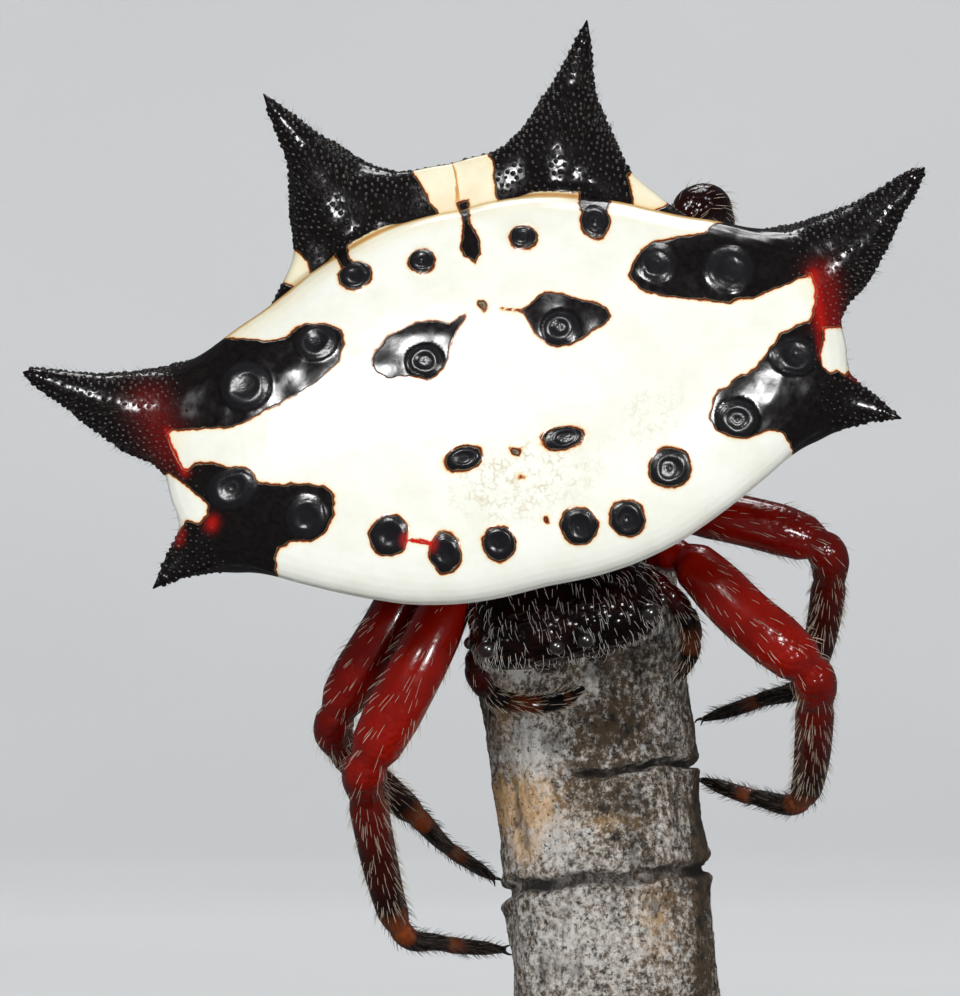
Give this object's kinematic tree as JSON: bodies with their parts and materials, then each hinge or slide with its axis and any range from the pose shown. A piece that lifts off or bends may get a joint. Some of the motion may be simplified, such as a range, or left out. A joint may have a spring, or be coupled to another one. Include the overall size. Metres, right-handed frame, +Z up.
{
  "type": "spiny orb weaver",
  "caption": "Life-size still model of a female spiny orb weaver, head down on a short cut twig held up by a rod and a round base.",
  "frame": {"origin": "Centre of the underside of the round base, on the surface that the stand rests on.", "axes": "+Z up along the twig, -Y toward the viewer who faces the spider's back, +X to that viewer's right."},
  "size_m": [0.018, 0.018, 0.0203],
  "materials": {
    "ivory_plate": "glossy ivory shell with black dimples and black granulated spines",
    "red_leg": "glossy mahogany red, darker toward the feet, with sparse pale bristles",
    "dark_shell": "glossy black-brown with fine pale hairs",
    "twig_bark": "rough grey bark with ochre patches and ring cracks",
    "stand_black": "plain satin black"
  },
  "bodies": {
    "root": {"abdomen": "ivory_plate", "cephalothorax": "dark_shell", "jaw_left": "dark_shell", "jaw_right": "dark_shell", "leg_1_left_foot": "dark_shell", "leg_1_left_shin": "red_leg", "leg_1_left_thigh": "red_leg", "leg_1_right_foot": "dark_shell", "leg_1_right_shin": "red_leg", "leg_1_right_thigh": "red_leg", "leg_2_left_foot": "dark_shell", "leg_2_left_shin": "red_leg", "leg_2_left_thigh": "red_leg", "leg_2_right_foot": "dark_shell", "leg_2_right_shin": "red_leg", "leg_2_right_thigh": "red_leg", "leg_3_left_foot": "dark_shell", "leg_3_left_shin": "red_leg", "leg_3_left_thigh": "red_leg", "leg_3_right_foot": "dark_shell", "leg_3_right_shin": "red_leg", "leg_3_right_thigh": "red_leg", "leg_4_left_foot": "dark_shell", "leg_4_left_shin": "red_leg", "leg_4_left_thigh": "red_leg", "leg_4_right_foot": "dark_shell", "leg_4_right_shin": "red_leg", "leg_4_right_thigh": "red_leg", "palp_left": "dark_shell", "palp_right": "dark_shell", "perch_twig": "twig_bark", "spinnerets": "dark_shell", "stand_base": "stand_black", "stand_rod": "stand_black"}
  },
  "joints": []
}
